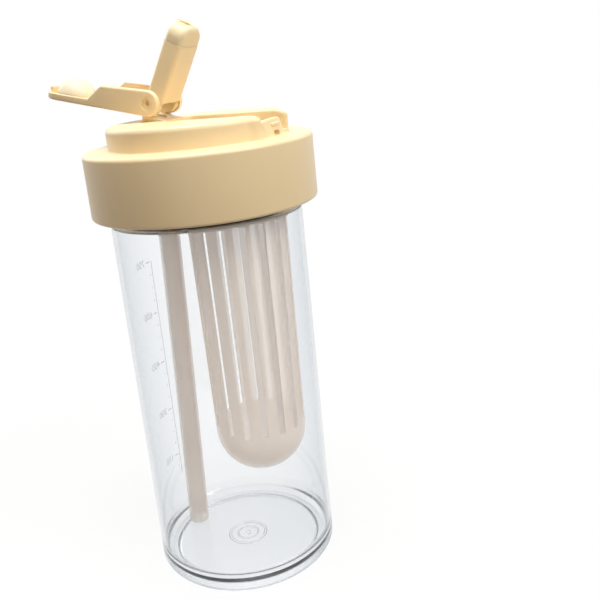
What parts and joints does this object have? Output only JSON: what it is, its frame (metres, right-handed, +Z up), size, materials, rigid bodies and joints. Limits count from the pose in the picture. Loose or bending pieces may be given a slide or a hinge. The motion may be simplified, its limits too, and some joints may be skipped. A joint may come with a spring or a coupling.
{
  "type": "straw water bottle",
  "caption": "Clear cylindrical water bottle with a screw lid, a fold-down straw spout under a flip cover, a drinking straw and a slotted fruit infuser basket.",
  "frame": {"origin": "centre of the base, in the plane that the bottle stands on", "axes": "+Z up along the bottle's axis, +X towards the side that the spout folds down to, Y along the hinge pins"},
  "size_m": [0.1288, 0.102, 0.2554],
  "materials": {
    "clear_plastic": "gloss",
    "cream_plastic": "satin",
    "milky_plastic": "satin",
    "soft_silicone": "soft"
  },
  "bodies": {
    "bottle": {"bottle_body": "clear_plastic"},
    "lid": {"lid_shell": "cream_plastic", "lid_liner": "cream_plastic", "neck_seal": "soft_silicone", "valve_seal": "soft_silicone", "vent_valve": "soft_silicone", "hinge_pin_near": "cream_plastic", "hinge_pin_far": "cream_plastic", "straw_sleeve": "soft_silicone", "straw": "milky_plastic"},
    "spout": {"spout": "cream_plastic", "spout_mouthpiece": "soft_silicone"},
    "cover": {"flip_cover": "cream_plastic", "cover_plug": "soft_silicone"},
    "infuser": {"infuser_basket": "milky_plastic", "infuser_seal": "soft_silicone"}
  },
  "joints": [
    {"name": "lid_lift", "type": "slide", "parent": "bottle", "child": "lid", "axis": [0, 0, 1], "range_m": [0, 0.2]},
    {"name": "spout_fold", "type": "hinge", "parent": "lid", "child": "spout", "pos_m": [-0.0175, 0, 0.2216], "axis": [0, 1, 0], "range_deg": [0, 72]},
    {"name": "cover_flip", "type": "hinge", "parent": "spout", "child": "cover", "pos_m": [-0.0175, 0, 0.2216], "axis": [0, 1, 0], "range_deg": [0, 108]},
    {"name": "infuser_turn", "type": "hinge", "parent": "lid", "child": "infuser", "pos_m": [0.015, 0, 0.1], "axis": [0, 0, 1], "range_deg": [0, 90]}
  ]
}
